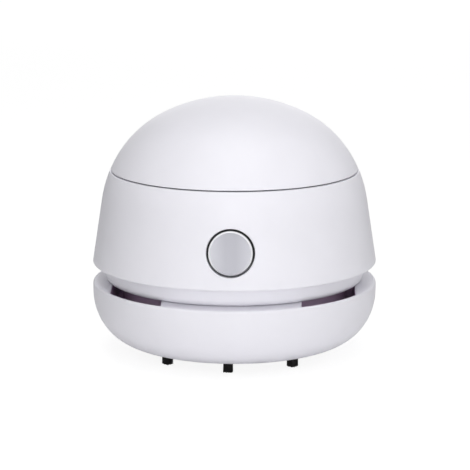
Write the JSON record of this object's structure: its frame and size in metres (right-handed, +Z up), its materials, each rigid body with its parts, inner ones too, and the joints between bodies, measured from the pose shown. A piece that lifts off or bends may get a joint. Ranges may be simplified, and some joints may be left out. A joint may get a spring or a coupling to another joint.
{
  "type": "desktop mini vacuum cleaner",
  "caption": "Domed battery vacuum cleaner for desk crumbs, with a push button, a twist-off dust bowl, side exhaust slots and black bristles around its intake.",
  "frame": {"origin": "on the desk under the middle of the cleaner, at the tips of the bristles", "axes": "+Z up through the dome; -Y towards the front, where the button is; +X to the right of someone who looks at the button"},
  "size_m": [0.085, 0.085, 0.0774],
  "materials": {
    "white_shell": "satin white moulding",
    "button_grey": "satin light grey",
    "dark_liner": "dark mauve grey moulding",
    "grey_plastic": "matt grey moulding",
    "black_plastic": "matt black",
    "bristle": "black nylon",
    "seal_rubber": "soft grey",
    "filter_felt": "felt",
    "steel": "drawn steel",
    "screw_steel": "plated",
    "brass": "plain",
    "copper": "enamelled copper",
    "magnet": "ferrite",
    "cell_can": "printed film",
    "wire_red": "pvc",
    "wire_black": "pvc"
  },
  "bodies": {
    "dust_container": {"dust_bowl": "white_shell", "dust_cup": "dark_liner", "intake_tube": "grey_plastic", "brush_ring": "grey_plastic", "bristle_tufts": "bristle", "brush_ring_screws": "screw_steel", "cup_screws": "screw_steel"},
    "body_seal": {"body_seal_ring": "seal_rubber"},
    "main_body": {"body_shell": "white_shell", "filter_holder": "dark_liner", "filter_frame": "grey_plastic", "filter_pad": "filter_felt", "fan_shroud": "grey_plastic", "shroud_screws": "screw_steel", "fan_plate": "grey_plastic", "plate_screws": "screw_steel", "motor_can": "steel", "motor_end_cap": "black_plastic", "motor_magnets": "magnet", "motor_bushes": "brass", "motor_brush_leaves": "copper", "motor_terminals": "brass", "motor_screws": "screw_steel", "switch_body": "black_plastic", "switch_bracket": "grey_plastic", "switch_terminals": "brass", "switch_screws": "screw_steel", "button_spring": "screw_steel", "battery_tray": "grey_plastic", "battery_front": "cell_can", "battery_rear": "cell_can", "battery_springs": "screw_steel", "battery_contacts": "brass", "tray_screws": "screw_steel", "wire_cell_to_switch": "wire_red", "wire_switch_to_motor": "wire_red", "wire_motor_to_cell": "wire_black"},
    "fan_rotor": {"impeller": "grey_plastic", "motor_shaft": "steel", "armature": "steel", "armature_windings": "copper", "commutator": "copper"},
    "button": {"button_cap": "button_grey", "switch_plunger": "black_plastic"},
    "cover_seal": {"cover_seal_ring": "seal_rubber"},
    "battery_cover": {"top_cover": "white_shell"}
  },
  "joints": [
    {"name": "body_lift", "type": "slide", "parent": "dust_container", "child": "body_seal", "axis": [0, 0, 1], "range_m": [0, 0.05]},
    {"name": "body_twist", "type": "hinge", "parent": "body_seal", "child": "main_body", "pos_m": [0, 0, 0.0229], "axis": [0, 0, -1], "range_deg": [0, 22]},
    {"name": "fan_spin", "type": "hinge", "parent": "main_body", "child": "fan_rotor", "pos_m": [0, 0, 0.03], "axis": [0, 0, 1], "continuous": true},
    {"name": "button_press", "type": "slide", "parent": "main_body", "child": "button", "axis": [0, 0.9882, -0.153], "range_m": [0, 0.0015], "stiffness_N_per_m": 600, "springref_m": -0.0015, "deforming": ["button_spring"]},
    {"name": "cover_lift", "type": "slide", "parent": "main_body", "child": "cover_seal", "axis": [0, 0, 1], "range_m": [0, 0.035]},
    {"name": "cover_twist", "type": "hinge", "parent": "cover_seal", "child": "battery_cover", "pos_m": [0, 0, 0.0557], "axis": [0, 0, -1], "range_deg": [0, 22]}
  ]
}
